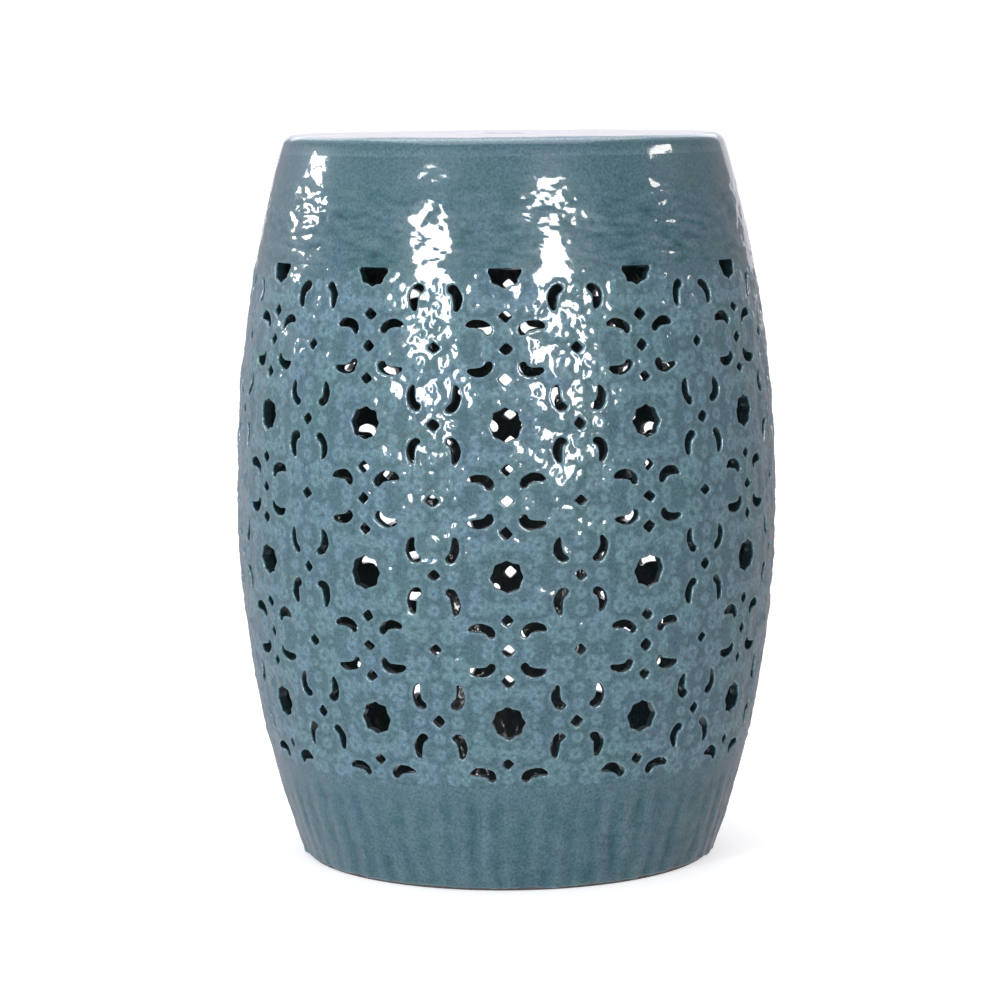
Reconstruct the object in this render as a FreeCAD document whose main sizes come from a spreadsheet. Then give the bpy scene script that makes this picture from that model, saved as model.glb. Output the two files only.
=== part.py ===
"""Ceramic garden stool: a glazed barrel with a pierced lattice wall under a plain shoulder and a flat seat.

Millimetres, +Z up. The origin is on the floor, in the middle of the stool, and one column of
octagons faces -Y. The clay members are luted together at bevelled joints, so each one sits
centred on the cone of the member below it.

The wall has one flat stave for every quarter of the lattice's column pitch. A stave's edges run
through the tips of the octagons and diamonds, so each side of a piercing lies in one flat face.
"""
import FreeCAD, Part
import os
import Sketcher

# Driving dimensions: name, size in millimetres (or a count), and what it measures
DIMENSIONS = (
    ("overall_height", 457, "floor to the top of the seat"),
    ("belly_radius", 171.6, "widest part of the barrel"),
    ("belly_height", 226, "height of the widest part"),
    ("rim_radius", 138.4, "barrel at the height of the seat, before its edge is rounded"),
    ("base_radius", 132.4, "barrel at the floor, before its edge is rounded"),
    ("wall_thickness", 8, "all round the barrel, measured level"),
    ("joint_rise", 4, "rise of each bevelled joint from the outer face to the inner one"),
    ("seat_thickness", 12, "top of the seat to the outer edge of its joint"),
    ("rim_rounding", 8, "radius of the seat's edge"),
    ("seat_lip_clearance", 0.5, "gap round the lip that hangs inside the shoulder"),
    ("finger_hole_radius", 12.5, "lifting hole in the middle of the seat"),
    ("shoulder_height", 77, "top of the seat down to the lattice"),
    ("base_band_height", 68, "floor up to the lattice"),
    ("base_rounding", 3, "radius of the base band's lower edge"),
    ("foot_reveal", 1.5, "bare foot that shows under the glazed base band"),
    ("foot_setback", 1.5, "foot ring in from the flat under the base band's edge"),
    ("foot_width", 10, "bare clay that the stool stands on"),
    ("columns", 12, "octagon columns round the wall"),
    ("staves_per_column", 4, "flat staves in one column pitch, an even number"),
    ("row_steps", 7, "steps from the first row of octagons down to the last row of upright flowers"),
    ("top_row_drop", 2, "lattice's top edge down to the middle of its first, half covered row"),
    ("bottom_row_drop", 3.6, "lattice's bottom edge down to the middle of its last, half covered row"),
    ("octagon_radius", 10.2, "middle of an octagon to its corners"),
    ("diamond_half_width", 4.2, "middle of a diamond to its side corners"),
    ("diamond_half_height", 3.7, "middle of a diamond to its upper and lower corners"),
    ("flower_diamond_offset", 18.4, "middle of an upright flower to its outer diamonds"),
    ("petal_tail_along", 20, "tip of a petal's tail, along the flower"),
    ("petal_tail_across", 11.2, "tip of a petal's tail, across the flower"),
    ("petal_back_along", 14.8, "crown of a petal's back, along the flower"),
    ("petal_back_across", 16.2, "crown of a petal's back, across the flower"),
    ("petal_head_along", 6.2, "head of a petal, along the flower"),
    ("petal_head_across", 7.8, "head of a petal, across the flower"),
    ("petal_hollow_along", 14, "hollow side of a petal, along the flower"),
    ("petal_hollow_across", 10.8, "hollow side of a petal, across the flower"),
)

# Places that several members share, written in the sheet's values
LATTICE_TOP = "(Sizes.overall_height - Sizes.shoulder_height)"
SEAT_JOINT = "(Sizes.overall_height - Sizes.seat_thickness)"
STAVES = "(Sizes.columns * Sizes.staves_per_column)"
STAVE_ANGLE = f"(360 / {STAVES})"
HALF_STAVE = f"(180 deg / {STAVES})"
COLUMN_ANGLE = "(360 / Sizes.columns)"
FACING = "-90"  # degrees round from +X, so that the first column of octagons faces -Y
FIRST_ROW = f"({LATTICE_TOP} - Sizes.top_row_drop)"
LAST_ROW = "(Sizes.base_band_height - Sizes.bottom_row_drop)"
ROW_STEP = f"(({FIRST_ROW} - {LAST_ROW}) / Sizes.row_steps)"
ROW_PITCH = f"(2 * {ROW_STEP})"


def profile_arc(end_radius, end_height):
    """Radius of the upright arc from the belly, where it stands vertical, to one end of the barrel."""
    inset = f"(Sizes.belly_radius - {end_radius})"
    return f"((({end_height} - Sizes.belly_height)^2 + {inset}^2) / (2 * {inset}))"


def outer_radius(height):
    """Outer face of the barrel at a height: one arc above the belly and another below it."""
    rise = f"({height} - Sizes.belly_height)"
    above = profile_arc("Sizes.rim_radius", "Sizes.overall_height")
    below = profile_arc("Sizes.base_radius", "0")
    arc = f"({rise} > 0 ? {above} : {below})"
    return f"(Sizes.belly_radius - {arc} + sqrt({arc}^2 - {rise}^2))"


def inner_radius(height):
    return f"({outer_radius(height)} - Sizes.wall_thickness)"


def outer_corner(height):
    return outer_radius(height), height


def inner_corner(joint_height):
    """Inner end of a bevelled joint, which lies higher than its outer end."""
    height = f"({joint_height} + Sizes.joint_rise)"
    return inner_radius(height), height


def origin_feature(body, role):
    return next(f for f in body.Origin.OriginFeatures if f.Role == role)


def turned_sketch(body, name, plane, axis, turn):
    """A sketch on one of the body's own planes, turned by an angle about the stool's axis."""
    sketch = body.newObject("Sketcher::SketchObject", name)
    sketch.AttachmentSupport = (origin_feature(body, plane), [""])
    sketch.MapMode = "FlatFace"
    rotation = FreeCAD.Rotation(axis, float(sketch.evalExpression(turn)))
    sketch.AttachmentOffset = FreeCAD.Placement(FreeCAD.Vector(), rotation)
    sketch.setExpression("AttachmentOffset.Rotation.Angle", turn)
    return sketch


def upright_sketch(body, name, turn):
    """An upright sketch through the axis: x is the distance from the axis and y the height."""
    return turned_sketch(body, name, "XZ_Plane", FreeCAD.Vector(0, 1, 0), turn)


def level_sketch(body, name, turn):
    """A sketch on the floor, with its x pointing outwards at the given turn."""
    return turned_sketch(body, name, "XY_Plane", FreeCAD.Vector(0, 0, 1), turn)


def draw_outline(sketch, corners):
    """Closed outline whose corners' distances from the sketch's origin are bound to the sheet."""
    places = [
        FreeCAD.Vector(float(sketch.evalExpression(x)), float(sketch.evalExpression(y)), 0) for x, y in corners
    ]
    ends = places[1:] + places[:1]
    lines = [Part.LineSegment(start, end) for start, end in zip(places, ends)]
    first = sketch.GeometryCount
    sketch.addGeometry(lines, False)
    count = len(corners)
    sketch.addConstraint([
        Sketcher.Constraint("Coincident", first + i, 2, first + (i + 1) % count, 1) for i in range(count)
    ])
    for i, (x, y) in enumerate(corners):
        across = sketch.addConstraint(Sketcher.Constraint("DistanceX", -1, 1, first + i, 1, places[i].x))
        sketch.setExpression(f"Constraints[{across}]", x)
        up = sketch.addConstraint(Sketcher.Constraint("DistanceY", -1, 1, first + i, 1, places[i].y))
        sketch.setExpression(f"Constraints[{up}]", y)


def cut_stave(body, outline, ridge):
    """One flat stave of the given section, between a ridge and the next: a board with bevelled edges."""
    doc = body.Document
    middle = f"{FACING} + ({ridge} + 0.5) * {STAVE_ANGLE}"
    section = upright_sketch(body, "Section", middle)
    draw_outline(section, [(f"{radius} * cos({HALF_STAVE})", height) for radius, height in outline])
    board = body.newObject("PartDesign::Pad", "Board")
    board.Profile = section
    board.Midplane = True
    board.setExpression("Length", f"3 * Sizes.belly_radius * tan({HALF_STAVE})")
    doc.recompute()

    reach = "(2 * Sizes.belly_radius)"
    bevel = f"{reach} * tan({HALF_STAVE})"
    edges = level_sketch(body, "Waste", middle)
    draw_outline(edges, [
        ("0", "0"),
        (reach, bevel),
        (reach, reach),
        (f"-{reach}", reach),
        (f"-{reach}", f"-{reach}"),
        (reach, f"-{reach}"),
        (reach, f"-{bevel}"),
    ])
    bevels = body.newObject("PartDesign::Pocket", "Bevels")
    bevels.Profile = edges
    bevels.Type = "ThroughAll"
    bevels.Reversed = True
    body.Tip = bevels
    doc.recompute()
    if not bevels.Shape.Volume < board.Shape.Volume:
        raise RuntimeError(f"{body.Label}: the stave's edges were not bevelled")


def repeat_round(body, name, occurrences, angle="360"):
    """The whole shape so far, repeated round the axis and joined."""
    ring = body.newObject("PartDesign::PolarPattern", name)
    ring.TransformMode = "Whole shape"
    ring.Axis = (origin_feature(body, "Z_Axis"), [""])
    ring.setExpression("Angle", angle)
    ring.setExpression("Occurrences", occurrences)
    ring.Refine = True
    body.Tip = ring
    body.Document.recompute()


def new_body(doc, name):
    body = doc.addObject("PartDesign::Body", name)
    body.Label = name
    body.Placement = FreeCAD.Placement()
    return body


def ring_member(doc, name, outline):
    """A member of the same section all round."""
    body = new_body(doc, name)
    cut_stave(body, outline, 0)
    repeat_round(body, "Round", STAVES)
    return body


def rounded_corner(centre_radius, centre_height, rounding, angles):
    """Corners on an arc of the section, at angles in degrees up from level."""
    return [
        (
            f"({centre_radius} + {rounding} * cos({angle} deg))",
            f"({centre_height} + {rounding} * sin({angle} deg))",
        )
        for angle in angles
    ]


def make_seat(doc):
    """Slab that closes the top, with a rounded edge, a lifting hole and a lip inside the shoulder."""
    rim_height = "(Sizes.overall_height - Sizes.rim_rounding)"
    rim_centre = f"({outer_radius(rim_height)} - Sizes.rim_rounding)"
    joint_inside, joint_top = inner_corner(SEAT_JOINT)
    lip = f"({inner_radius(SEAT_JOINT)} - Sizes.joint_rise - Sizes.seat_lip_clearance)"
    outline = [
        ("Sizes.finger_hole_radius", SEAT_JOINT),
        (lip, SEAT_JOINT),
        (joint_inside, joint_top),
        outer_corner(SEAT_JOINT),
        *rounded_corner(rim_centre, rim_height, "Sizes.rim_rounding", (0, 45, 90)),
        ("Sizes.finger_hole_radius", "Sizes.overall_height"),
    ]
    return ring_member(doc, "seat_slab", outline)


def make_shoulder(doc):
    """Plain band between the seat and the lattice."""
    outline = [
        inner_corner(LATTICE_TOP),
        outer_corner(LATTICE_TOP),
        outer_corner(SEAT_JOINT),
        inner_corner(SEAT_JOINT),
    ]
    return ring_member(doc, "shoulder_band", outline)


def make_base_band(doc):
    """Plain band under the lattice, rounded in at its lower edge above the foot."""
    lower_edge = "(Sizes.foot_reveal + Sizes.base_rounding)"
    edge_centre = f"({outer_radius(lower_edge)} - Sizes.base_rounding)"
    foot_inside, foot_top = inner_corner("Sizes.foot_reveal")
    outline = [
        (foot_inside, foot_top),
        *rounded_corner(edge_centre, lower_edge, "Sizes.base_rounding", (-90, -45, 0)),
        outer_corner("Sizes.base_band_height"),
        inner_corner("Sizes.base_band_height"),
    ]
    return ring_member(doc, "base_band", outline)


def make_foot(doc):
    """Bare clay ring that the stool stands on, thicker than the wall, under the base band's bevel."""
    lower_edge = "(Sizes.foot_reveal + Sizes.base_rounding)"
    joint_outside = f"({outer_radius(lower_edge)} - Sizes.base_rounding)"
    outside = f"({joint_outside} - Sizes.foot_setback)"
    inside = f"({outside} - Sizes.foot_width)"
    joint_inside, joint_top = inner_corner("Sizes.foot_reveal")
    outline = [
        (inside, "0"),
        (outside, "0"),
        (joint_outside, "Sizes.foot_reveal"),
        (joint_inside, joint_top),
        (inside, joint_top),
    ]
    return ring_member(doc, "foot_ring", outline)


def octagon(height):
    """Corners of an octagon with one at its top, in the middle of its column."""
    return [
        (f"Sizes.octagon_radius * cos({angle} deg)", f"{height} + Sizes.octagon_radius * sin({angle} deg)")
        for angle in range(0, 360, 45)
    ]


def diamond(height):
    return [
        ("Sizes.diamond_half_width", height),
        ("0", f"{height} + Sizes.diamond_half_height"),
        ("-Sizes.diamond_half_width", height),
        ("0", f"{height} - Sizes.diamond_half_height"),
    ]


def petals(height, upright):
    """The four petals of a flower, two by two. An upright flower has its long axis level."""
    outlines = []
    for side in ("1", "-1"):
        for end in ("1", "-1"):
            outline = []
            for corner in ("tail", "back", "head", "hollow"):
                along = f"{side} * Sizes.petal_{corner}_along"
                across = f"{end} * Sizes.petal_{corner}_across"
                x, y = (along, across) if upright else (across, along)
                outline.append((x, f"{height} + {y}"))
            outlines.append(outline)
    return outlines


def pierce(body, name, outlines, turn, rows, pitch):
    """Cuts outlines through the wall in front of the axis, and repeats them down the column."""
    doc = body.Document
    sketch = upright_sketch(body, f"{name}Outline", turn)
    for outline in outlines:
        draw_outline(sketch, outline)
    before = body.Shape.Volume
    pocket = body.newObject("PartDesign::Pocket", name)
    pocket.Profile = sketch
    pocket.Type = "ThroughAll"
    pocket.Reversed = True
    doc.recompute()
    if not pocket.Shape.Volume < before:
        raise RuntimeError(f"{name} cut nothing")
    column = body.newObject("PartDesign::LinearPattern", f"{name}Column")
    column.Originals = [pocket]
    column.Direction = (origin_feature(body, "Z_Axis"), [""])
    column.Reversed = True
    column.Mode = "Spacing"
    column.setExpression("Offset", pitch)
    column.setExpression("Occurrences", rows)
    body.Tip = column
    doc.recompute()
    if not column.Shape.Volume < pocket.Shape.Volume:
        raise RuntimeError(f"{name} was not repeated down its column")


def make_lattice(doc):
    """Pierced wall. Octagon columns with upright flowers alternate with columns of lying flowers."""
    half_steps = range(3, 2 * int(doc.Sizes.row_steps) - 1, 4)
    tiers = [f"({FIRST_ROW} - {half_step} * {ROW_STEP} / 2)" for half_step in half_steps]
    outline = [
        inner_corner("Sizes.base_band_height"),
        outer_corner("Sizes.base_band_height"),
        *[outer_corner(height) for height in reversed(tiers)],
        outer_corner(LATTICE_TOP),
        inner_corner(LATTICE_TOP),
        *[(inner_radius(height), height) for height in tiers],
    ]
    body = new_body(doc, "lattice_wall")
    cut_stave(body, outline, "(-Sizes.staves_per_column / 4)")
    repeat_round(body, "Column", "Sizes.staves_per_column", f"(Sizes.staves_per_column - 1) * {STAVE_ANGLE}")

    octagon_column = "0"
    flower_column = f"{COLUMN_ANGLE} / 2"
    upright_flower = f"({FIRST_ROW} - {ROW_STEP})"
    octagon_rows = "floor(Sizes.row_steps / 2) + 1"
    flower_rows = "floor((Sizes.row_steps + 1) / 2)"
    diamond_rows = "Sizes.row_steps - 1"
    flower_diamonds = [
        diamond(f"({upright_flower} + {step} * Sizes.flower_diamond_offset)") for step in (-1, 0, 1)
    ]
    flower = petals(upright_flower, True) + flower_diamonds
    pierce(body, "Octagon", [octagon(FIRST_ROW)], octagon_column, octagon_rows, ROW_PITCH)
    pierce(body, "UprightFlower", flower, octagon_column, flower_rows, ROW_PITCH)
    pierce(body, "LyingFlower", petals(FIRST_ROW, False), flower_column, octagon_rows, ROW_PITCH)
    pierce(body, "Diamond", [diamond(upright_flower)], flower_column, diamond_rows, ROW_STEP)
    repeat_round(body, "Round", "Sizes.columns")
    return body


def make_sheet(doc):
    sheet = doc.addObject("Spreadsheet::Sheet", "Sizes")
    for row, (name, size, note) in enumerate(DIMENSIONS, start=1):
        sheet.set(f"A{row}", name)
        sheet.set(f"B{row}", str(size))
        sheet.setAlias(f"B{row}", name)
        sheet.set(f"C{row}", note)
    doc.recompute()
    return sheet


def check(doc, bodies):
    for obj in doc.Objects:
        if "Invalid" in obj.State or "Error" in obj.State:
            raise RuntimeError(f"{obj.Name} failed: {obj.State}")
    for body in bodies:
        shape = body.Shape
        if shape.isNull() or not shape.isValid() or len(shape.Solids) != 1:
            raise RuntimeError(f"{body.Label} is not one valid solid")
        print(f"{body.Label}: {len(shape.Faces)} faces, {shape.Volume / 1000:.1f} cm3")


def main():
    doc = FreeCAD.newDocument("garden_stool")
    make_sheet(doc)
    bodies = [maker(doc) for maker in (make_seat, make_shoulder, make_lattice, make_base_band, make_foot)]
    doc.recompute()
    check(doc, bodies)
    os.makedirs("parts", exist_ok=True)
    for body in bodies:
        body.Shape.exportStep(os.path.join("parts", f"{body.Label}.step"))


main()
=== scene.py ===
"""Ceramic garden stool: a celadon-glazed barrel with a pierced, relief-moulded lattice wall.

Metres, +Z up, the same frame as the CAD. Angles round the barrel start at the column of octagons
that faces -Y and grow towards +X.
"""

import math

import bmesh
import bpy
import numpy as np
from mathutils import Matrix, Vector


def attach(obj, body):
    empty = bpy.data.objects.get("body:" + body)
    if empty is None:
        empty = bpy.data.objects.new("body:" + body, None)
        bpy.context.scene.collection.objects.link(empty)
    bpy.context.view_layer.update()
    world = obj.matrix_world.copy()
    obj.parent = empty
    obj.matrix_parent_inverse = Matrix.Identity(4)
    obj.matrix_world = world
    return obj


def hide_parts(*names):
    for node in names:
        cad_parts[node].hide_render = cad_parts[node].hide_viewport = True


MM = 0.001

# The barrel's own sizes, as the clay members have them
HEIGHT = 457 * MM
BELLY_RADIUS = 171.6 * MM
BELLY_HEIGHT = 226 * MM
RIM_RADIUS = 138.4 * MM
BASE_RADIUS = 132.4 * MM
WALL = 8 * MM
SEAT_JOINT = 445 * MM
RIM_ROUNDING = 8.5 * MM
SEAT_SINK = 0.6 * MM  # leaves the seat's unevenness under the full height
FINGER_HOLE = 12.5 * MM  # radius
LATTICE_TOP = 380 * MM
LATTICE_BOTTOM = 68 * MM
FOOT_REVEAL = 1.5 * MM
BASE_ROUNDING = 3 * MM

# The lattice repeats every 30 degrees round and every 89.6 mm down, which is two row steps
COLUMNS = 12
HALF_COLUMN = math.pi / COLUMNS
FIRST_ROW = 378 * MM
ROW_STEP = 44.8 * MM
ROW_STEPS = 7
CELL_RADIUS = 171.5 * MM  # where 15 degrees round measure one row step
ACROSS = CELL_RADIUS * HALF_COLUMN  # from the middle of one column to the next, round the wall
GROUND = 1.0 * MM  # the glazed faces lie this far inside the barrel's outline, under the relief
BACK_TURN = -1.0  # degrees by which the back half of the mould closed out of line

# The raised work on the lattice
RELIEF_RISE = 0.34 * MM
LIP_WIDTH = 1.5 * MM  # soft lip round each piercing
LIP_RISE = 0.25 * MM
LIP_DEPTH = 2 * MM
STAMP_MARK = 5 * MM  # the small crowded marks that the mould left between the larger scrolls
STAMP_DEPTH = 0.22 * MM

# The larger marks on half a column: pattern, distance round the wall from the column's middle,
# height from the row's middle, turn in degrees, and hand of a hook. Each has a twin under the row.
OCTAGON_ROW_MARKS = (
    ("ring", 19.4 * MM, 18.9 * MM, 0, 0),
    ("curl", 10.4 * MM, 16.8 * MM, 200, 1),
    ("curl", 17.8 * MM, 10.0 * MM, 250, -1),
    ("small_ring", 3.3 * MM, 19.5 * MM, 0, 0),
    ("dot", 17.0 * MM, 2.2 * MM, 0, 0),
    ("dot", 26.5 * MM, 25.5 * MM, 0, 0),
    ("dot", 13.4 * MM, 22.5 * MM, 0, 0),
    ("small_ring", ACROSS - 12.5 * MM, 0, 0, 0),
    ("dot", 5.4 * MM, 13.1 * MM, 0, 0),
    ("dot", 13.1 * MM, 5.4 * MM, 0, 0),
    ("small_ring", ACROSS, 10.5 * MM, 0, 0),
)
FLOWER_ROW_MARKS = (
    ("ring", ACROSS - 8.3 * MM, 8.5 * MM, 0, 0),
    ("curl", ACROSS - 17.6 * MM, 8.1 * MM, 160, 1),
    ("curl", ACROSS - 8.1 * MM, 17.6 * MM, 110, -1),
    ("ring", ACROSS - 17.2 * MM, 17.0 * MM, 0, 0),
    ("small_ring", ACROSS, 24.0 * MM, 0, 0),
    ("dot", ACROSS, 14.5 * MM, 0, 0),
    ("small_ring", 12.0 * MM, 2.6 * MM, 0, 0),
    ("small_ring", 0, 9.4 * MM, 0, 0),
)
MIDDLE_DOT = ACROSS - 14.5 * MM  # one dot on the middle of each flower row

# Piercings
OCTAGON_RADIUS = 10.2 * MM
OCTAGON_HOLLOW = 0.86  # how far in the middles of an octagon's sides lie
DIAMOND_HALF_WIDTH = 4.3 * MM
DIAMOND_HALF_HEIGHT = 3.9 * MM
DIAMOND_OFFSET = 18.6 * MM  # middle of an upright flower to its outer diamonds
PETAL_LENGTH = 9.4 * MM
PETAL_HALF_WIDTH = 2.75 * MM
PETAL_BEND = -92  # degrees from tail to head
HEAD_TURN = 14  # degrees that the head hooks in, twice over
PETAL_PLACE = (14.3 * MM, 13.6 * MM, 0)  # from the middle of the flower
PETAL_LEAN = 14  # degrees
CUTTER_DEPTH = 60 * MM

# How finely the pieces are drawn
CLAY_GRAIN = 0.6 * MM  # relief and wall are melted into one at this fineness
SPARE_ANGLE = math.radians(2)  # drawn past each side of a column, and cut off again
SPARE_HEIGHT = 3 * MM
COLUMN_ROWS, COLUMN_AROUND = 48, 480
SHOULDER_ROWS, BASE_ROWS, BAND_AROUND = 60, 34, 720
SEAT_RINGS, SEAT_AROUND, FOOT_AROUND = 34, 360, 240
KEPT_FACES = 0.33  # of the melted column, which is even finer than its shapes need
MERGE_REACH = 0.001 * MM

# How thin the glaze lies: 0 in the deepest pool, 1 on a bare edge. Edges are raised towards 1
# partly as a painted highlight, and the inside is set to 0 as painted shade
GROUND_TONE = 0.3
SHOULDER_TONE = 0.21  # the smooth band is coloured darker than the lattice
BASE_TONE = 0.28
OPEN_FACE_TONE = 0.8  # the thinnest that it lies away from an edge
GLAZE_AND_PAINTED_LIGHT_COLOURS = (
    (0.0, "#1d2f33"),  # pooled deep, and painted shade on the inside
    (0.12, "#31565e"),
    (GROUND_TONE, "#4c6770"),
    (0.62, "#5a7983"),  # ridges of the relief
    (0.85, "#869ea2"),
    (1.0, "#bac8cc"),  # bare edges, where the pale clay shows through, and a painted highlight on their rounding
)

# Real sizes of the glaze's patterns
DRIFT_PATCH = 100 / 3 * MM  # clouds where the dip ran thicker or thinner
ORANGE_PEEL = 6.25 * MM  # faint ripple of the fired glass
MOTTLE = 50 / 31 * MM  # crystals of 0.3 mm, drawn five times coarser so that they show

# Light of the studio. Strengths and tints are linear, and were fitted to the photo's shading.
WHITE = (1, 1, 1)
LAVENDER, WARM, COOL = (0.95, 0.93, 1.0), (1.0, 0.95, 0.91), (0.92, 1.0, 1.06)
ROOM_LEFT = (0.5, 0.51, 0.57, 1)
ROOM_MIDDLE = (0.34, 0.33, 0.36, 1)
ROOM_RIGHT = (0.29, 0.235, 0.25, 1)
LEFT_STRIP = ((-1.71, -2.54, 1.09), (-0.044, -0.155, 0.36), 0.58, 1.3)
RIGHT_STRIP = ((1.18, -2.82, 1.09), (0.028, -0.155, 0.36), 0.7, 1.3)
SOFTBOXES = (  # name, place, point that it is aimed at, width, height, strength, tint
    ("overhead", (0, 0.15, 2.9), (0, 0.15, 0), 3.0, 3.2, 1.9, LAVENDER),
    ("glint_left", *LEFT_STRIP, 26, WHITE),
    ("fill_left", *LEFT_STRIP, 20, COOL),
    ("glint_right", *RIGHT_STRIP, 26, WHITE),
    ("fill_right", *RIGHT_STRIP, 7.4, WARM),
    ("side_left", (-2.84, 0.95, 1.19), (-0.111, -0.092, 0.43), 0.75, 0.3, 20, WHITE),
    ("side_right", (2.85, 0.0, 1.66), (0.1, -0.1, 0.43), 0.9, 0.16, 16, WARM),
    ("rear_card", (0.5, 3.6, 0.9), (0.5, 0, 0.9), 3.2, 1.2, 0.63, LAVENDER),
    ("rear_top", (0, 2.75, 2.05), (0, 0, 0.45), 3.0, 1.9, 1.2, LAVENDER),
)

# The photo's viewpoint, found by fitting the outline: 2.2 m away, a little above the seat
EYE = (0, -2.197, 0.493)
PITCH_DOWN, ROLL = 0.122, -0.0083  # radians
SENSOR_WIDTH, FOCAL_LENGTH = 36, 124.986  # millimetres
SHIFT_X = -0.00664


def arc_radius(end_radius, rise):
    """Radius of the upright arc that stands vertical at the belly and ends at that radius."""
    inset = BELLY_RADIUS - end_radius
    return (rise**2 + inset**2) / (2 * inset)


ARC_ABOVE = arc_radius(RIM_RADIUS, HEIGHT - BELLY_HEIGHT)
ARC_BELOW = arc_radius(BASE_RADIUS, BELLY_HEIGHT)


def barrel_radius(height):
    """Outer radius of the barrel: one arc above the belly and another below it."""
    rise = height - BELLY_HEIGHT
    arc = ARC_ABOVE if rise > 0 else ARC_BELOW
    return BELLY_RADIUS - arc + math.sqrt(arc**2 - rise**2)


def only(obj):
    """Makes obj the one selected and active object."""
    bpy.ops.object.select_all(action="DESELECT")
    obj.select_set(True)
    bpy.context.view_layer.objects.active = obj


def finish_with(obj, kind, **settings):
    """Adds a modifier with its settings and applies it."""
    only(obj)
    modifier = obj.modifiers.new(kind.title(), kind)
    for name, value in settings.items():
        setattr(modifier, name, value)
    bpy.ops.object.modifier_apply(modifier=modifier.name)


def settle(obj):
    """Puts the object's place, turn and size into its mesh."""
    only(obj)
    bpy.ops.object.transform_apply(location=True, rotation=True, scale=True)


def copy_of(obj, name, matrix):
    """A copy with its own mesh, placed by a matrix that is put into the mesh."""
    twin = obj.copy()
    twin.data = obj.data.copy()
    twin.name = twin.data.name = name
    bpy.context.collection.objects.link(twin)
    twin.matrix_world = matrix
    settle(twin)
    return twin


def joined(name, pieces):
    """The pieces as one object with that name."""
    only(pieces[0])
    for piece in pieces:
        piece.select_set(True)
    bpy.ops.object.join()
    whole = bpy.context.active_object
    whole.name = whole.data.name = name
    return whole


def pick(obj, wanted):
    """In edit mode, selects the vertices that wanted(position) accepts."""
    mesh = bmesh.from_edit_mesh(obj.data)
    for vertex in mesh.verts:
        vertex.select = wanted(vertex.co)
    mesh.select_flush_mode()
    bmesh.update_edit_mesh(obj.data)


def edit(obj):
    """Opens the object in edit mode, to work on its vertices."""
    only(obj)
    bpy.ops.object.mode_set(mode="EDIT")
    bpy.ops.mesh.select_mode(type="VERT")


def end_edit():
    bpy.ops.object.mode_set(mode="OBJECT")


def raise_wall(name, heights, around, start=-math.pi, end=math.pi, inset=0.0):
    """Outer face of the barrel between two angles: a circle pulled up row by row."""
    bpy.ops.mesh.primitive_circle_add(
        vertices=around,
        radius=barrel_radius(heights[0]) - inset,
        location=(0, 0, heights[0]),
    )
    wall = bpy.context.active_object
    wall.name = wall.data.name = name
    settle(wall)
    edit(wall)
    if end - start < 2 * math.pi:
        pick(wall, lambda co: not start <= math.atan2(co.x, -co.y) <= end)
        bpy.ops.mesh.delete(type="VERT")
    bpy.ops.mesh.select_all(action="SELECT")
    for below, above in zip(heights, heights[1:]):
        bpy.ops.mesh.extrude_region_move(TRANSFORM_OT_translate={"value": (0, 0, above - below)})
        growth = (barrel_radius(above) - inset) / (barrel_radius(below) - inset)
        bpy.ops.transform.resize(value=(growth, growth, 1), center_override=(0, 0, above))
    bpy.ops.mesh.select_all(action="SELECT")
    bpy.ops.mesh.normals_make_consistent(inside=False)
    end_edit()
    return wall


def thicken(wall, thickness=WALL):
    """Gives an outer face its thickness, inwards."""
    finish_with(
        wall, "SOLIDIFY", thickness=thickness, offset=-1, use_even_offset=True, use_rim=True
    )


def steps(start, end, count):
    """Even steps from start to end, both included."""
    return [start + (end - start) * i / count for i in range(count + 1)]


def octagon_cutter(margin):
    """Octagon with a corner at its top and faintly hollow sides."""
    bpy.ops.mesh.primitive_cylinder_add(
        vertices=16, radius=OCTAGON_RADIUS + margin, depth=CUTTER_DEPTH
    )
    cutter = bpy.context.active_object
    edit(cutter)
    half_side = 22.5  # degrees from a corner to the middle of a side
    pick(cutter, lambda co: round(math.degrees(math.atan2(co.y, co.x)) / half_side) % 2 == 1)
    bpy.ops.transform.resize(value=(OCTAGON_HOLLOW, OCTAGON_HOLLOW, 1), center_override=(0, 0, 0))
    end_edit()
    return cutter


def diamond_cutter(margin):
    """Diamond, a little wider than it is high."""
    bpy.ops.mesh.primitive_cylinder_add(vertices=4, radius=1, depth=CUTTER_DEPTH)
    cutter = bpy.context.active_object
    corner_margin = margin * math.sqrt(2)
    cutter.scale = (DIAMOND_HALF_WIDTH + corner_margin, DIAMOND_HALF_HEIGHT + corner_margin, 1)
    settle(cutter)
    return cutter


def petal_cutter(margin):
    """Bean-shaped petal in the flower's upper right, its blunt hooked head towards the middle."""
    length = PETAL_LENGTH + margin
    bpy.ops.mesh.primitive_cylinder_add(vertices=32, radius=1, depth=CUTTER_DEPTH)
    petal = bpy.context.active_object
    petal.scale = (length, PETAL_HALF_WIDTH + margin, 1)
    settle(petal)
    edit(petal)
    swell_to_head = ((2.0 * MM, 1.06), (4.0 * MM, 1.1), (6.0 * MM, 1.12), (8.0 * MM, 1.15))
    for reach, spread in swell_to_head:
        pick(petal, lambda co: co.x < -reach)
        bpy.ops.transform.resize(value=(1, spread, 1), center_override=(0, 0, 0))
    for reach in (3.0 * MM, 4.6 * MM):
        pick(petal, lambda co: co.x < -reach)
        bpy.ops.transform.rotate(
            value=math.radians(-HEAD_TURN),
            orient_axis="Z",
            center_override=(-reach, 0.6 * MM, 0),
        )
    end_edit()
    bend = math.radians(PETAL_BEND) * length / PETAL_LENGTH
    finish_with(petal, "SIMPLE_DEFORM", deform_method="BEND", deform_axis="Z", angle=bend)
    return petal


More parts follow.
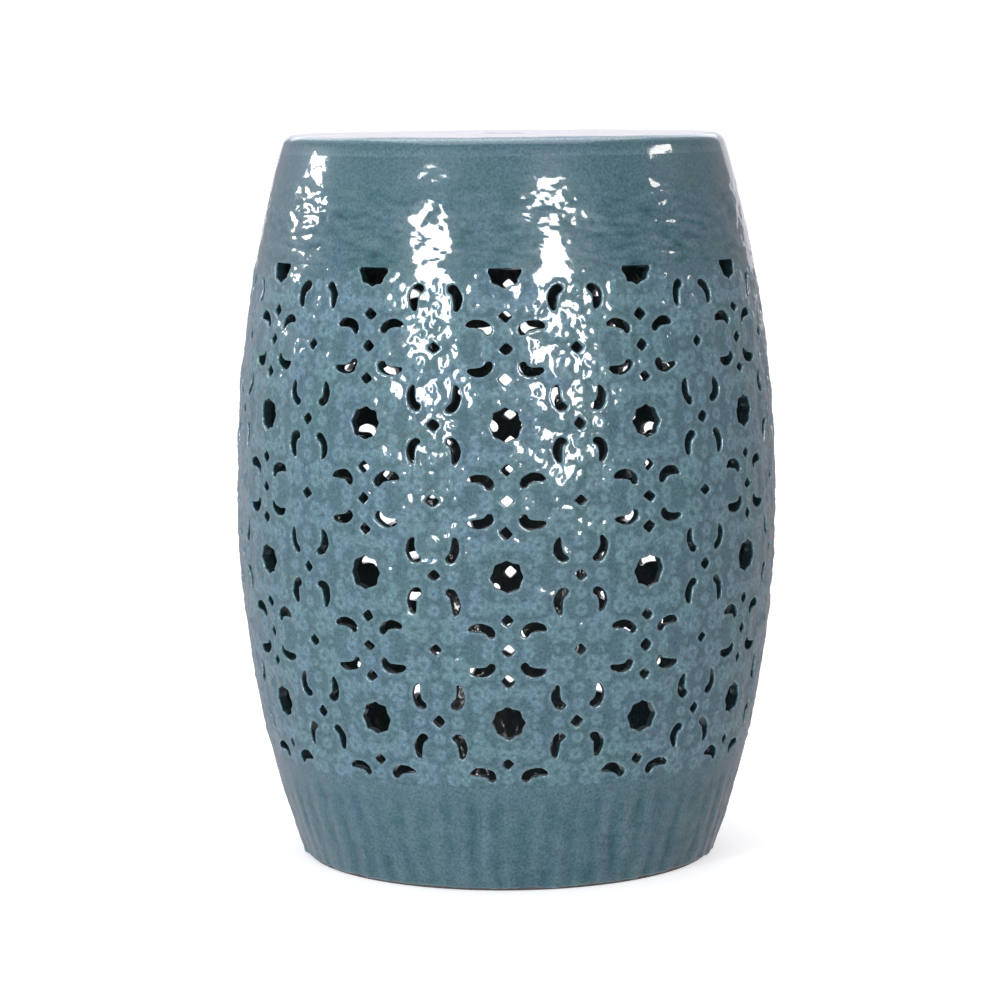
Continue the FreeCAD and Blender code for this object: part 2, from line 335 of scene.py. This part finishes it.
def at_column(x, z, turn_flat=0.0, column=0.0):
    """Place of a flat outline, drawn in X and Y, in front of a column: Y is up, Z outwards."""
    stand = Matrix.Rotation(math.radians(90), 4, "X")
    return (
        Matrix.Rotation(column, 4, "Z")
        @ Matrix.Translation((x, -BELLY_RADIUS, z))
        @ stand
        @ Matrix.Rotation(turn_flat, 4, "Z")
    )


def on_wall(x, z, turn=0.0):
    """Place on the wall's outer face, x measured round it: Y points up the face, Z outwards."""
    angle = x / CELL_RADIUS
    rise = z - BELLY_HEIGHT
    lean = math.asin(rise / (ARC_ABOVE if rise > 0 else ARC_BELOW))
    return (
        Matrix.Rotation(angle, 4, "Z")
        @ Matrix.Translation((0, -barrel_radius(z), z))
        @ Matrix.Rotation(math.radians(90) - lean, 4, "X")
        @ Matrix.Rotation(turn, 4, "Z")
    )


def flower_cutter(petal):
    """Four petals, two by two, about the flower's middle."""
    placed = Matrix.Translation(PETAL_PLACE) @ Matrix.Rotation(math.radians(PETAL_LEAN), 4, "Z")
    quarters = []
    for side in (1, -1):
        for end in (1, -1):
            mirrored = Matrix.Diagonal((side, end, 1, 1))
            quarters.append(copy_of(petal, "petal", mirrored @ placed))
    return joined("flower", quarters)


def lattice_cutters(margin=0.0):
    """Every piercing of one column of octagons and of the column of lying flowers beside it."""
    octagon = octagon_cutter(margin)
    diamond = diamond_cutter(margin)
    petal = petal_cutter(margin)
    flower = flower_cutter(petal)
    cuts = []
    for step in range(ROW_STEPS + 1):
        z = FIRST_ROW - step * ROW_STEP
        if step % 2 == 0:
            cuts.append(copy_of(octagon, "cut", at_column(0, z)))
            cuts.append(copy_of(flower, "cut", at_column(0, z, math.pi / 2, HALF_COLUMN)))
        else:
            cuts.append(copy_of(flower, "cut", at_column(0, z)))
            for offset in (-DIAMOND_OFFSET, 0, DIAMOND_OFFSET):
                cuts.append(copy_of(diamond, "cut", at_column(0, z + offset)))
        if 0 < step < ROW_STEPS:
            cuts.append(copy_of(diamond, "cut", at_column(0, z, 0, HALF_COLUMN)))
    cutters = joined("cutters", cuts)
    edit(cutters)
    bpy.ops.mesh.select_all(action="SELECT")
    bpy.ops.mesh.normals_make_consistent(inside=False)
    end_edit()
    for pattern in (octagon, diamond, petal, flower):
        bpy.data.objects.remove(pattern)
    return cutters


def relief_ring(radius, thick):
    """A low ring of clay."""
    bpy.ops.mesh.primitive_torus_add(
        major_radius=radius, minor_radius=thick, major_segments=24, minor_segments=10
    )
    ring = bpy.context.active_object
    ring.scale = (1, 1, RELIEF_RISE / thick)
    settle(ring)
    return ring


def relief_curl(radius, thick, sweep):
    """A low hook of clay: a small circle spun round the hook's middle, where a bead lies."""
    bpy.ops.mesh.primitive_circle_add(
        vertices=10,
        radius=thick,
        fill_type="NGON",
        location=(radius, 0, 0),
        rotation=(math.radians(90), 0, 0),
    )
    curl = bpy.context.active_object
    settle(curl)
    edit(curl)
    bpy.ops.mesh.select_all(action="SELECT")
    bpy.ops.mesh.spin(steps=16, angle=sweep, center=(0, 0, 0), axis=(0, 0, 1))
    bpy.ops.mesh.select_all(action="SELECT")
    bpy.ops.mesh.remove_doubles(threshold=MERGE_REACH)
    bpy.ops.mesh.normals_make_consistent(inside=False)
    end_edit()
    bpy.ops.mesh.primitive_uv_sphere_add(segments=12, ring_count=8, radius=thick)
    bead = bpy.context.active_object
    curl = joined("curl", [curl, bead])
    curl.scale = (1, 1, RELIEF_RISE / thick)
    settle(curl)
    return curl


def relief_dot(radius):
    """A low bead of clay."""
    bpy.ops.mesh.primitive_uv_sphere_add(segments=14, ring_count=8, radius=radius)
    dot = bpy.context.active_object
    dot.scale = (1, 1, RELIEF_RISE / radius)
    settle(dot)
    return dot


def lattice_relief():
    """Raised scrolls and rings on half a column: clouds round the octagons, and scrolls between."""
    patterns = {
        "ring": relief_ring(3.0 * MM, 1.7 * MM),
        "small_ring": relief_ring(2.4 * MM, 1.5 * MM),
        "curl": relief_curl(3.0 * MM, 1.6 * MM, math.radians(260)),
        "dot": relief_dot(2.1 * MM),
    }
    lie = Matrix.Translation((0, 0, -GROUND))
    clear = 2 * MM  # of the lattice's upper and lower edges
    marks = []

    def mark(kind, x, z, turn=0, hand=1):
        if LATTICE_BOTTOM + clear < z < LATTICE_TOP - clear:
            place = on_wall(x, z, math.radians(turn)) @ Matrix.Diagonal((1, hand, 1, 1)) @ lie
            marks.append(copy_of(patterns[kind], "mark", place))

    for step in range(ROW_STEPS + 1):
        z = FIRST_ROW - step * ROW_STEP
        row = FLOWER_ROW_MARKS if step % 2 else OCTAGON_ROW_MARKS
        for end in (1, -1):
            for kind, x, rise, turn, hand in row:
                mark(kind, x, z + end * rise, end * turn, end * hand or 1)
        if step % 2:
            mark("dot", MIDDLE_DOT, z)
    for pattern in patterns.values():
        bpy.data.objects.remove(pattern)
    return marks


def note_glaze_and_painted_light(obj, swing, ground=GROUND_TONE, edge_reach=0.0):
    """Writes how thin the glaze lies on each point: hollows hold more, ridges and edges less. Edges
    are also made paler as a painted highlight, and the inside darkest as painted shade.

    swing is the change of tone for a millimetre of height. edge_reach is how far inside the face
    an edge still counts as one.
    """
    mesh = obj.data
    count = len(mesh.vertices)
    place, normal = np.empty(count * 3), np.empty(count * 3)
    mesh.vertices.foreach_get("co", place)
    mesh.vertices.foreach_get("normal", normal)
    place, normal = place.reshape(-1, 3), normal.reshape(-1, 3)
    radius = np.hypot(place[:, 0], place[:, 1])
    rise = place[:, 2] - BELLY_HEIGHT
    arc = np.where(rise > 0, ARC_ABOVE, ARC_BELOW)
    face = BELLY_RADIUS - arc + np.sqrt(arc**2 - rise**2)
    height = radius - face + GROUND
    tone = np.clip(ground + swing * height / MM, 0, OPEN_FACE_TONE)
    outward = (place[:, 0] * normal[:, 0] + place[:, 1] * normal[:, 1]) / np.maximum(radius, 1e-6)
    # Edges turned away from the face go pale: thin glaze there, and a painted highlight of the
    # glints on their rounding
    if edge_reach:
        turned_in = np.clip((0.9 - outward) / 0.25, 0, 1)  # starts 26 degrees off the face
        near = np.clip(1 + height / edge_reach, 0, 1)
        tone = np.maximum(tone, turned_in * near)
    tone = np.where(outward < -0.2, 0, tone)  # painted shade: the inside is given the darkest tone
    layer = mesh.attributes.new("glaze_and_painted_light_tone", "FLOAT", "POINT")
    layer.data.foreach_set("value", tone)


def lattice_column():
    """One column of the pierced wall, modelled as its right half and mirrored."""
    heights = steps(LATTICE_BOTTOM - SPARE_HEIGHT, LATTICE_TOP + SPARE_HEIGHT, COLUMN_ROWS)
    sides = (-SPARE_ANGLE, HALF_COLUMN + SPARE_ANGLE)
    half = raise_wall("half_column", heights, COLUMN_AROUND, *sides, GROUND)
    thicken(half, WALL - GROUND)
    lips = raise_wall("lips", heights, COLUMN_AROUND, *sides, GROUND - LIP_RISE)
    thicken(lips, LIP_DEPTH)
    outlines = lattice_cutters(LIP_WIDTH)
    finish_with(lips, "BOOLEAN", operation="INTERSECT", object=outlines, solver="EXACT")
    bpy.data.objects.remove(outlines)
    cutters = lattice_cutters()
    for wall in (half, lips):
        finish_with(wall, "BOOLEAN", operation="DIFFERENCE", object=cutters, solver="EXACT")
    bpy.data.objects.remove(cutters)
    half = joined("half_column", [half, lips] + lattice_relief())
    finish_with(half, "REMESH", mode="VOXEL", voxel_size=CLAY_GRAIN)
    finish_with(
        half, "DISPLACE", texture=stamped(), texture_coords="LOCAL", strength=STAMP_DEPTH,
        mid_level=0.3,
    )
    finish_with(half, "SMOOTH", factor=0.5, iterations=3)
    # The edge reach paints pale lips round the piercings: thin glaze and a painted highlight
    note_glaze_and_painted_light(half, swing=1.2, edge_reach=1.5 * MM)
    finish_with(half, "SMOOTH", factor=0.5, iterations=15)  # the glaze runs the clay's forms soft
    finish_with(half, "DECIMATE", ratio=KEPT_FACES)
    next_column = Vector((math.cos(HALF_COLUMN), math.sin(HALF_COLUMN), 0))
    cuts = (
        (Vector((0, 0, 0)), Vector((-1, 0, 0)), False),
        (Vector((0, 0, 0)), next_column, True),
        (Vector((0, 0, LATTICE_TOP)), Vector((0, 0, 1)), True),
        (Vector((0, 0, LATTICE_BOTTOM)), Vector((0, 0, -1)), True),
    )
    edit(half)
    for place, normal, fill in cuts:
        bpy.ops.mesh.select_all(action="SELECT")
        bpy.ops.mesh.bisect(plane_co=place, plane_no=normal, use_fill=fill, clear_outer=True)
    end_edit()
    finish_with(
        half, "MIRROR", use_axis=(True, False, False), use_mirror_merge=True,
        merge_threshold=0.01 * MM,
    )
    half.data.validate()  # drops the faces that the mirror doubled, or the copies export torn
    return half


def build_lattice():
    """Twelve copies of the column, each with its own waver."""
    column = lattice_column()
    columns = []
    for i in range(COLUMNS):
        turn = Matrix.Rotation(2 * i * HALF_COLUMN, 4, "Z")
        twin = copy_of(column, f"lattice_column_{i + 1:02d}", turn)
        sway(twin)
        settle_back(twin)
        columns.append(twin)
    bpy.data.objects.remove(column)
    return columns


def turned(name, outline, around):
    """A closed section, drawn point by point as radius and height, turned round the axis."""
    bpy.ops.mesh.primitive_plane_add(size=1 * MM)
    section = bpy.context.active_object
    section.name = section.data.name = name
    edit(section)
    bpy.ops.mesh.select_all(action="SELECT")
    bpy.ops.mesh.merge(type="CENTER")
    start = outline[0]
    bpy.ops.transform.translate(value=(start[0], 0, start[1]))
    for (radius, height), (next_radius, next_height) in zip(outline, outline[1:]):
        bpy.ops.mesh.extrude_vertices_move(
            TRANSFORM_OT_translate={"value": (next_radius - radius, 0, next_height - height)}
        )
    end = outline[-1]
    pick(
        section,
        lambda co: any(
            math.hypot(co.x - tip[0], co.z - tip[1]) < MERGE_REACH for tip in (start, end)
        ),
    )
    bpy.ops.mesh.edge_face_add()
    end_edit()
    finish_with(
        section, "SCREW", angle=2 * math.pi, steps=around, render_steps=around, axis="Z",
        use_merge_vertices=True, merge_threshold=MERGE_REACH, use_normal_calculate=True,
    )
    edit(section)
    bpy.ops.mesh.select_all(action="SELECT")
    bpy.ops.mesh.normals_make_consistent(inside=False)
    end_edit()
    return section


def rounded(centre_radius, centre_height, rounding, start, end, count=8):
    """Points on a rounded edge, from one angle to another in degrees."""
    return [
        (centre_radius + rounding * math.cos(angle), centre_height + rounding * math.sin(angle))
        for angle in steps(math.radians(start), math.radians(end), count)
    ]


def build_seat():
    """Flat top with a soft edge and a lifting hole whose lip is eased."""
    side_slope = math.degrees(math.asin((SEAT_JOINT - BELLY_HEIGHT) / ARC_ABOVE))
    side_top = HEIGHT - RIM_ROUNDING * (1 - math.sin(math.radians(side_slope)))
    side_radius = barrel_radius(side_top) - GROUND
    rim_centre = side_radius - RIM_ROUNDING * math.cos(math.radians(side_slope))
    ease = 2.5 * MM
    top = HEIGHT - SEAT_SINK
    outline = [
        (FINGER_HOLE, SEAT_JOINT),
        (barrel_radius(SEAT_JOINT) - GROUND, SEAT_JOINT),
        *rounded(rim_centre, top - RIM_ROUNDING, RIM_ROUNDING, side_slope, 90),
        *[(radius, top) for radius in steps(rim_centre, FINGER_HOLE + ease, SEAT_RINGS)[1:-1]],
        *rounded(FINGER_HOLE + ease, top - ease, ease, 90, 180, 5),
    ]
    seat = turned("glazed_seat", outline, SEAT_AROUND)
    # The wide edge reach paints the rounded rim pale: thin glaze and a painted highlight
    note_glaze_and_painted_light(seat, swing=0.0, ground=SHOULDER_TONE, edge_reach=10 * MM)
    wavy = fade_by_height(seat, "wavy", top, top - RIM_ROUNDING)
    dent(seat, 30 * MM, 0.8 * MM, group=wavy)
    return seat


def build_foot():
    """Bare clay ring, wiped clean of glaze, that reaches up into the base band."""
    flat_outside = 129.5 * MM
    flat_inside = 119.5 * MM
    ease = 0.6 * MM
    top = 4 * MM
    outline = [
        *rounded(flat_outside - ease, ease, ease, -90, 0, 4),
        (flat_outside + ease, FOOT_REVEAL),
        (flat_outside + ease, top),
        (flat_inside, top),
        *rounded(flat_inside + ease, ease, ease, 180, 270, 4),
    ]
    return turned("bare_foot", outline, FOOT_AROUND)


def noise(kind, size, coloured=False):
    """Noise with features of that size."""
    texture = bpy.data.textures.new("unevenness", kind)
    texture.noise_scale = size
    if coloured:
        texture.cloud_type = "COLOR"
    return texture


def stamped():
    """Rounded marks with narrow creases between them."""
    texture = noise("VORONOI", STAMP_MARK)
    texture.weight_1 = -1
    texture.weight_2 = 1
    return texture


def sway(obj):
    """Hand-pressed clay: the lattice wavers a little, without parting at its seams."""
    free = fade_at_joints(obj, LATTICE_BOTTOM, LATTICE_TOP)
    slow, quick = (60 * MM, 1.4 * MM), (15 * MM, 2.4 * MM)
    for size, depth in (slow, quick):
        finish_with(
            obj, "DISPLACE", texture=noise("CLOUDS", size, True), texture_coords="GLOBAL",
            direction="RGB_TO_XYZ", strength=depth, mid_level=0.5, vertex_group=free,
        )


def settle_back(obj):
    """The back half of the two-part mould closed about one degree out of line."""
    behind = Vector((0, BELLY_RADIUS, BELLY_HEIGHT))
    guides = []
    for turn in (0, math.radians(BACK_TURN)):
        bpy.ops.object.empty_add()
        guide = bpy.context.active_object
        guide.matrix_world = Matrix.Rotation(turn, 4, "Z") @ Matrix.Translation(behind)
        guides.append(guide)
    bpy.context.view_layer.update()
    finish_with(
        obj, "WARP", object_from=guides[0], object_to=guides[1], strength=1,
        falloff_type="SMOOTH", falloff_radius=2 * BELLY_RADIUS,
    )
    for guide in guides:
        bpy.data.objects.remove(guide)


def dent(obj, size, depth, stretch=(1, 1, 1), group=""):
    """Uneven hand-worked face: soft noise of that size pushes it in and out by the depth."""
    bpy.ops.object.empty_add()
    guide = bpy.context.active_object
    guide.scale = stretch
    bpy.context.view_layer.update()
    finish_with(
        obj, "DISPLACE", texture=noise("CLOUDS", size), texture_coords="OBJECT",
        texture_coords_object=guide, strength=depth, mid_level=0.5, vertex_group=group,
    )
    bpy.data.objects.remove(guide)


def fade_by_height(obj, name, full, none):
    """Vertex group that is 1 at one height and falls to 0 at another."""
    group = obj.vertex_groups.new(name=name)
    for vertex in obj.data.vertices:
        weight = (vertex.co.z - none) / (full - none)
        group.add([vertex.index], min(max(weight, 0), 1), "REPLACE")
    return name


def fade_at_joints(obj, bottom, top, reach=8 * MM):
    """Vertex group that is 1 on the open face and falls to 0 at the joints above and below."""
    group = obj.vertex_groups.new(name="free")
    for vertex in obj.data.vertices:
        weight = min(vertex.co.z - bottom, top - vertex.co.z) / reach
        group.add([vertex.index], min(max(weight, 0), 1), "REPLACE")
    return group.name


def build_shoulder():
    """Plain band with light, level hammering that is strongest near the lattice."""
    heights = steps(LATTICE_TOP, SEAT_JOINT, SHOULDER_ROWS)
    band = raise_wall("glazed_shoulder", heights, BAND_AROUND, inset=GROUND)
    thicken(band)
    hammered = fade_by_height(band, "hammered", LATTICE_TOP + 30 * MM, LATTICE_TOP + 55 * MM)
    dent(band, 4.5 * MM, 0.7 * MM, (2.6, 2.6, 0.9), hammered)  # marks 12 mm wide, 4 mm high
    note_glaze_and_painted_light(band, swing=0.7, ground=SHOULDER_TONE)
    uneven = fade_at_joints(band, LATTICE_TOP, SEAT_JOINT, 30 * MM)
    dent(band, 16 * MM, 2.4 * MM, (1.3, 1.3, 1), uneven)  # soft hollows that break up the glints
    return band


def flute(band, count, around, depth, fade):
    """Draws upright strips of the wall inwards, to soft flutes that run out below the lattice."""
    turn = 2 * math.pi
    pitch = around // count
    edit(band)
    for offset in range(1, pitch):
        sink = depth * math.sin(math.pi * offset / pitch) ** 2
        for limit in fade:
            pick(
                band,
                lambda co: co.z < limit
                and round(math.atan2(co.y, co.x) % turn / turn * around) % pitch == offset,
            )
            shrink = 1 - sink / len(fade) / BASE_RADIUS
            bpy.ops.transform.resize(value=(shrink, shrink, 1), center_override=(0, 0, 0))
    end_edit()


def build_base_band():
    """Plain band with soft upright flutes, rounded in above the foot."""
    foot_edge = FOOT_REVEAL + BASE_ROUNDING
    heights = steps(foot_edge, LATTICE_BOTTOM, BASE_ROWS)
    band = raise_wall("glazed_base_band", heights, BAND_AROUND, inset=GROUND)
    flute(band, 60, BAND_AROUND, 0.4 * MM, (66 * MM, 62 * MM, 58 * MM, 54 * MM))
    edit(band)
    pick(band, lambda co: co.z < foot_edge + 0.1 * MM)
    turns = [math.radians(angle) for angle in (0, 30, 60, 90)]
    for before, after in zip(turns, turns[1:]):
        bpy.ops.mesh.extrude_region_move()
        drop = BASE_ROUNDING * (math.sin(after) - math.sin(before))
        draw_in = BASE_ROUNDING * (math.cos(before) - math.cos(after))
        bpy.ops.transform.translate(value=(0, 0, -drop))
        shrink = 1 - draw_in / BASE_RADIUS
        bpy.ops.transform.resize(value=(shrink, shrink, 1), center_override=(0, 0, foot_edge))
    bpy.ops.mesh.select_all(action="SELECT")
    bpy.ops.mesh.normals_make_consistent(inside=False)
    end_edit()
    thicken(band, 5 * MM)
    free = fade_by_height(band, "free", LATTICE_BOTTOM - 14 * MM, LATTICE_BOTTOM)
    dent(band, 8 * MM, 1.0 * MM, (1, 1, 6), free)  # upright runs between the flutes
    dent(band, 4 * MM, 0.7 * MM, (2.2, 2.2, 1.2), free)  # light hammering
    # The edge reach paints a pale line on the lower rounding: thin glaze and a painted highlight
    note_glaze_and_painted_light(band, swing=0.25, ground=BASE_TONE, edge_reach=2 * MM)
    dent(band, 16 * MM, 1.4 * MM, (1, 1, 1.5), free)  # broad unevenness
    return band


def srgb(code):
    """Linear colour of an sRGB hex value."""
    values = [int(code[i:i + 2], 16) / 255 for i in (1, 3, 5)]
    return [v / 12.92 if v <= 0.04045 else ((v + 0.055) / 1.055) ** 2.4 for v in values] + [1.0]


def node(tree, kind, links=(), **settings):
    """Adds a shader node, sets its properties or inputs, and links its inputs to outputs."""
    new = tree.nodes.new(kind)
    for name, value in settings.items():
        if hasattr(new, name):
            setattr(new, name, value)
        else:
            new.inputs[name.replace("_", " ")].default_value = value
    for socket, output in links:
        tree.links.new(output, new.inputs[socket])
    return new


def celadon_glaze():
    """Blue-green celadon glaze on stoneware, dipped and fired to glass.

    It gives the eye crisp white glints on a soft, slightly mottled colour, pale where the glaze
    thins on edges and deep where it pools. The edges also carry a painted highlight, and the inside
    painted shade.
    """
    material = bpy.data.materials.new("celadon_glaze_on_stoneware")
    material.use_nodes = True
    tree = material.node_tree
    shader = tree.nodes["Principled BSDF"]
    shader.inputs["Roughness"].default_value = 0.35
    shader.inputs["Specular IOR Level"].default_value = 0.2
    shader.inputs["Coat Weight"].default_value = 1.0
    shader.inputs["Coat Roughness"].default_value = 0.06
    shader.inputs["Coat IOR"].default_value = 1.5
    place = node(tree, "ShaderNodeTexCoord").outputs["Object"]

    # Colour by how thin the glaze lies, with painted highlight on the edges and painted shade on
    # the inside
    layer = node(tree, "ShaderNodeAttribute", attribute_name="glaze_and_painted_light_tone")
    depth = node(tree, "ShaderNodeValToRGB", [("Fac", layer.outputs["Fac"])])
    tones = depth.color_ramp.elements
    tones[0].color = srgb(GLAZE_AND_PAINTED_LIGHT_COLOURS[0][1])
    tones[1].color = srgb(GLAZE_AND_PAINTED_LIGHT_COLOURS[-1][1])
    for thinness, colour in GLAZE_AND_PAINTED_LIGHT_COLOURS[1:-1]:
        tones.new(thinness).color = srgb(colour)

    # Cloudy drift towards green or lavender: factors on the colour, not colours
    drift = node(
        tree, "ShaderNodeTexNoise", [("Vector", place)],
        Scale=1 / DRIFT_PATCH, Detail=6.0, Roughness=0.7,
    )
    patch = node(tree, "ShaderNodeValToRGB", [("Fac", drift.outputs["Fac"])])
    greener, bluer = patch.color_ramp.elements
    greener.position, greener.color = 0.32, (0.94, 1.02, 0.92, 1)
    bluer.position, bluer.color = 0.68, (1.01, 0.98, 1.07, 1)
    drifted = node(
        tree, "ShaderNodeMixRGB",
        [("Color1", depth.outputs["Color"]), ("Color2", patch.outputs["Color"])],
        blend_type="MULTIPLY", Fac=1.0,
    )

    # Fine light and dark crystals, as factors again
    crystals = node(
        tree, "ShaderNodeTexNoise", [("Vector", place)],
        Scale=1 / MOTTLE, Detail=2.0, Roughness=0.6,
    )
    speckle = node(tree, "ShaderNodeValToRGB", [("Fac", crystals.outputs["Fac"])])
    darker, lighter = speckle.color_ramp.elements
    darker.position, darker.color = 0.25, (0.58, 0.62, 0.62, 1)
    lighter.position, lighter.color = 0.75, (1.42, 1.38, 1.38, 1)
    mottled = node(
        tree, "ShaderNodeMixRGB",
        [("Color1", drifted.outputs["Color"]), ("Color2", speckle.outputs["Color"])],
        blend_type="MULTIPLY", Fac=1.0,
    )
    tree.links.new(mottled.outputs["Color"], shader.inputs["Base Color"])

    ripple = node(
        tree, "ShaderNodeTexNoise", [("Vector", place)], Scale=1 / ORANGE_PEEL, Detail=2.0
    )
    bump = node(
        tree, "ShaderNodeBump", [("Height", ripple.outputs["Fac"])],
        Strength=0.15, Distance=0.4 * MM,
    )
    tree.links.new(bump.outputs["Normal"], shader.inputs["Normal"])
    tree.links.new(bump.outputs["Normal"], shader.inputs["Coat Normal"])
    return material


def bare_stoneware_in_painted_shade():
    """Unglazed stoneware, wiped and fired: matt, and coloured dark as painted shade of the narrow
    gap under the foot.
    """
    material = bpy.data.materials.new("bare_stoneware_in_painted_shade")
    material.use_nodes = True
    shader = material.node_tree.nodes["Principled BSDF"]
    # Dark grey-brown: painted shade of the gap between foot and floor, not the clay's own colour
    shader.inputs["Base Color"].default_value = srgb("#4f4a47")
    shader.inputs["Roughness"].default_value = 0.85
    return material


def white_floor():
    """Matt white paper sweep, overlit until it shows no grey."""
    material = bpy.data.materials.new("white_studio_paper")
    material.use_nodes = True
    shader = material.node_tree.nodes["Principled BSDF"]
    shader.inputs["Base Color"].default_value = srgb("#dadada")
    shader.inputs["Roughness"].default_value = 0.9
    shader.inputs["Specular IOR Level"].default_value = 0.0
    shader.inputs["Emission Color"].default_value = srgb("#ffffff")
    shader.inputs["Emission Strength"].default_value = 0.53
    return material


def backlit_screen():
    """Translucent white screen, lit from behind."""
    material = bpy.data.materials.new("backlit_white_screen")
    material.use_nodes = True
    shader = material.node_tree.nodes["Principled BSDF"]
    shader.inputs["Base Color"].default_value = srgb("#595959")
    shader.inputs["Emission Color"].default_value = srgb("#ffffff")
    shader.inputs["Emission Strength"].default_value = 1.0
    return material


def coat_with(obj, material, smooth=40):
    """Gives a finished piece its material, slot and soft shading, and lets it ride on the part.

    Faces that meet at less than the smooth angle, in degrees, are shaded as one.
    """
    obj.data.materials.clear()
    obj.data.materials.append(material)
    only(obj)
    bpy.ops.object.shade_smooth_by_angle(angle=math.radians(smooth))
    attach(obj, "root")


def add_floor():
    """A wide floor, and a backlit screen that stands just behind it as the photo's white ground."""
    bpy.ops.mesh.primitive_plane_add(size=60, location=(0, 0, 0))
    floor = bpy.context.active_object
    floor.name = "studio_floor"
    floor.data.materials.append(white_floor())
    upright = (math.radians(90), 0, 0)
    bpy.ops.mesh.primitive_plane_add(size=1, location=(0, 3.2, 0.31), rotation=upright)
    backdrop = bpy.context.active_object
    backdrop.name = "studio_backdrop"
    backdrop.scale = (2.6, 0.62, 1)
    backdrop.data.materials.append(backlit_screen())
    for sheet in (floor, backdrop):
        sheet.visible_glossy = False  # black flags keep both sheets out of the glaze's reflections


def add_softbox(name, place, aim, width, height, strength, tint):
    """Area light at a place, turned to face the point that its reflection is wanted on."""
    away = Vector(place) - Vector(aim)
    light = bpy.data.lights.new(name, "AREA")
    light.shape = "RECTANGLE"
    light.size = width
    light.size_y = height
    light.energy = strength * width * height * math.pi
    light.color = tint
    lamp = bpy.data.objects.new(name, light)
    lamp.location = place
    lamp.rotation_euler = away.to_track_quat("Z", "Y").to_euler()
    bpy.context.collection.objects.link(lamp)
    return lamp


def add_lights():
    """A pale room that darkens to the right, and the softboxes whose reflections the glaze shows.

    Each strip is two lamps in one place: its glint is seen in the glaze alone, and its fill only
    lights the colour, as the photo's glints are brighter than its shading.
    """
    world = bpy.data.worlds.new("white_studio")
    bpy.context.scene.world = world
    world.use_nodes = True
    tree = world.node_tree
    direction = node(tree, "ShaderNodeTexCoord")
    split = node(tree, "ShaderNodeSeparateXYZ", [("Vector", direction.outputs["Generated"])])
    across = node(tree, "ShaderNodeMath", [(0, split.outputs["X"])], operation="MULTIPLY_ADD")
    across.inputs[1].default_value = 0.5
    across.inputs[2].default_value = 0.5
    room = node(tree, "ShaderNodeValToRGB", [("Fac", across.outputs["Value"])])
    walls = room.color_ramp.elements
    walls[0].color = ROOM_LEFT
    walls[1].color = ROOM_RIGHT
    walls.new(0.5).color = ROOM_MIDDLE
    tree.links.new(room.outputs["Color"], tree.nodes["Background"].inputs["Color"])
    tree.nodes["Background"].inputs["Strength"].default_value = 1.0
    for name, *settings in SOFTBOXES:
        lamp = add_softbox(name, *settings)
        lamp.visible_diffuse = not name.startswith("glint")
        lamp.visible_glossy = not name.startswith("fill")
        lamp.visible_camera = name != "rear_card"


def add_camera():
    """The camera at the photo's viewpoint."""
    camera = bpy.data.cameras.new("photo_camera")
    camera.sensor_width = SENSOR_WIDTH
    camera.lens = FOCAL_LENGTH
    camera.shift_x = SHIFT_X
    eye = bpy.data.objects.new("photo_camera", camera)
    level = math.pi / 2
    look = Matrix.Rotation(level - PITCH_DOWN, 4, "X") @ Matrix.Rotation(ROLL, 4, "Z")
    eye.matrix_world = Matrix.Translation(EYE) @ look
    bpy.context.collection.objects.link(eye)
    bpy.context.scene.camera = eye


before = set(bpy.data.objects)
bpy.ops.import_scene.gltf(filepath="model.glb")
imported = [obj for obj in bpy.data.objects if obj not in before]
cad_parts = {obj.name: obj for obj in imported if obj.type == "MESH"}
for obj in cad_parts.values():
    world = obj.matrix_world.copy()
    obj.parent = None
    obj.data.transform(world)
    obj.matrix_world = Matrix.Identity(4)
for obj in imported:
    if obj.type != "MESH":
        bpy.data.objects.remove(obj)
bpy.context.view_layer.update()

glaze = celadon_glaze()
clay = bare_stoneware_in_painted_shade()

seat = build_seat()
coat_with(seat, glaze)
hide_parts("seat_slab")

shoulder = build_shoulder()
coat_with(shoulder, glaze)
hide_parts("shoulder_band")

for column in build_lattice():
    coat_with(column, glaze, smooth=60)
    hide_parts("lattice_wall")

base_band = build_base_band()
coat_with(base_band, glaze)
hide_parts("base_band")

foot = build_foot()
coat_with(foot, clay)
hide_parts("foot_ring")

add_floor()
add_lights()
add_camera()
bpy.context.scene.view_settings.view_transform = "Standard"
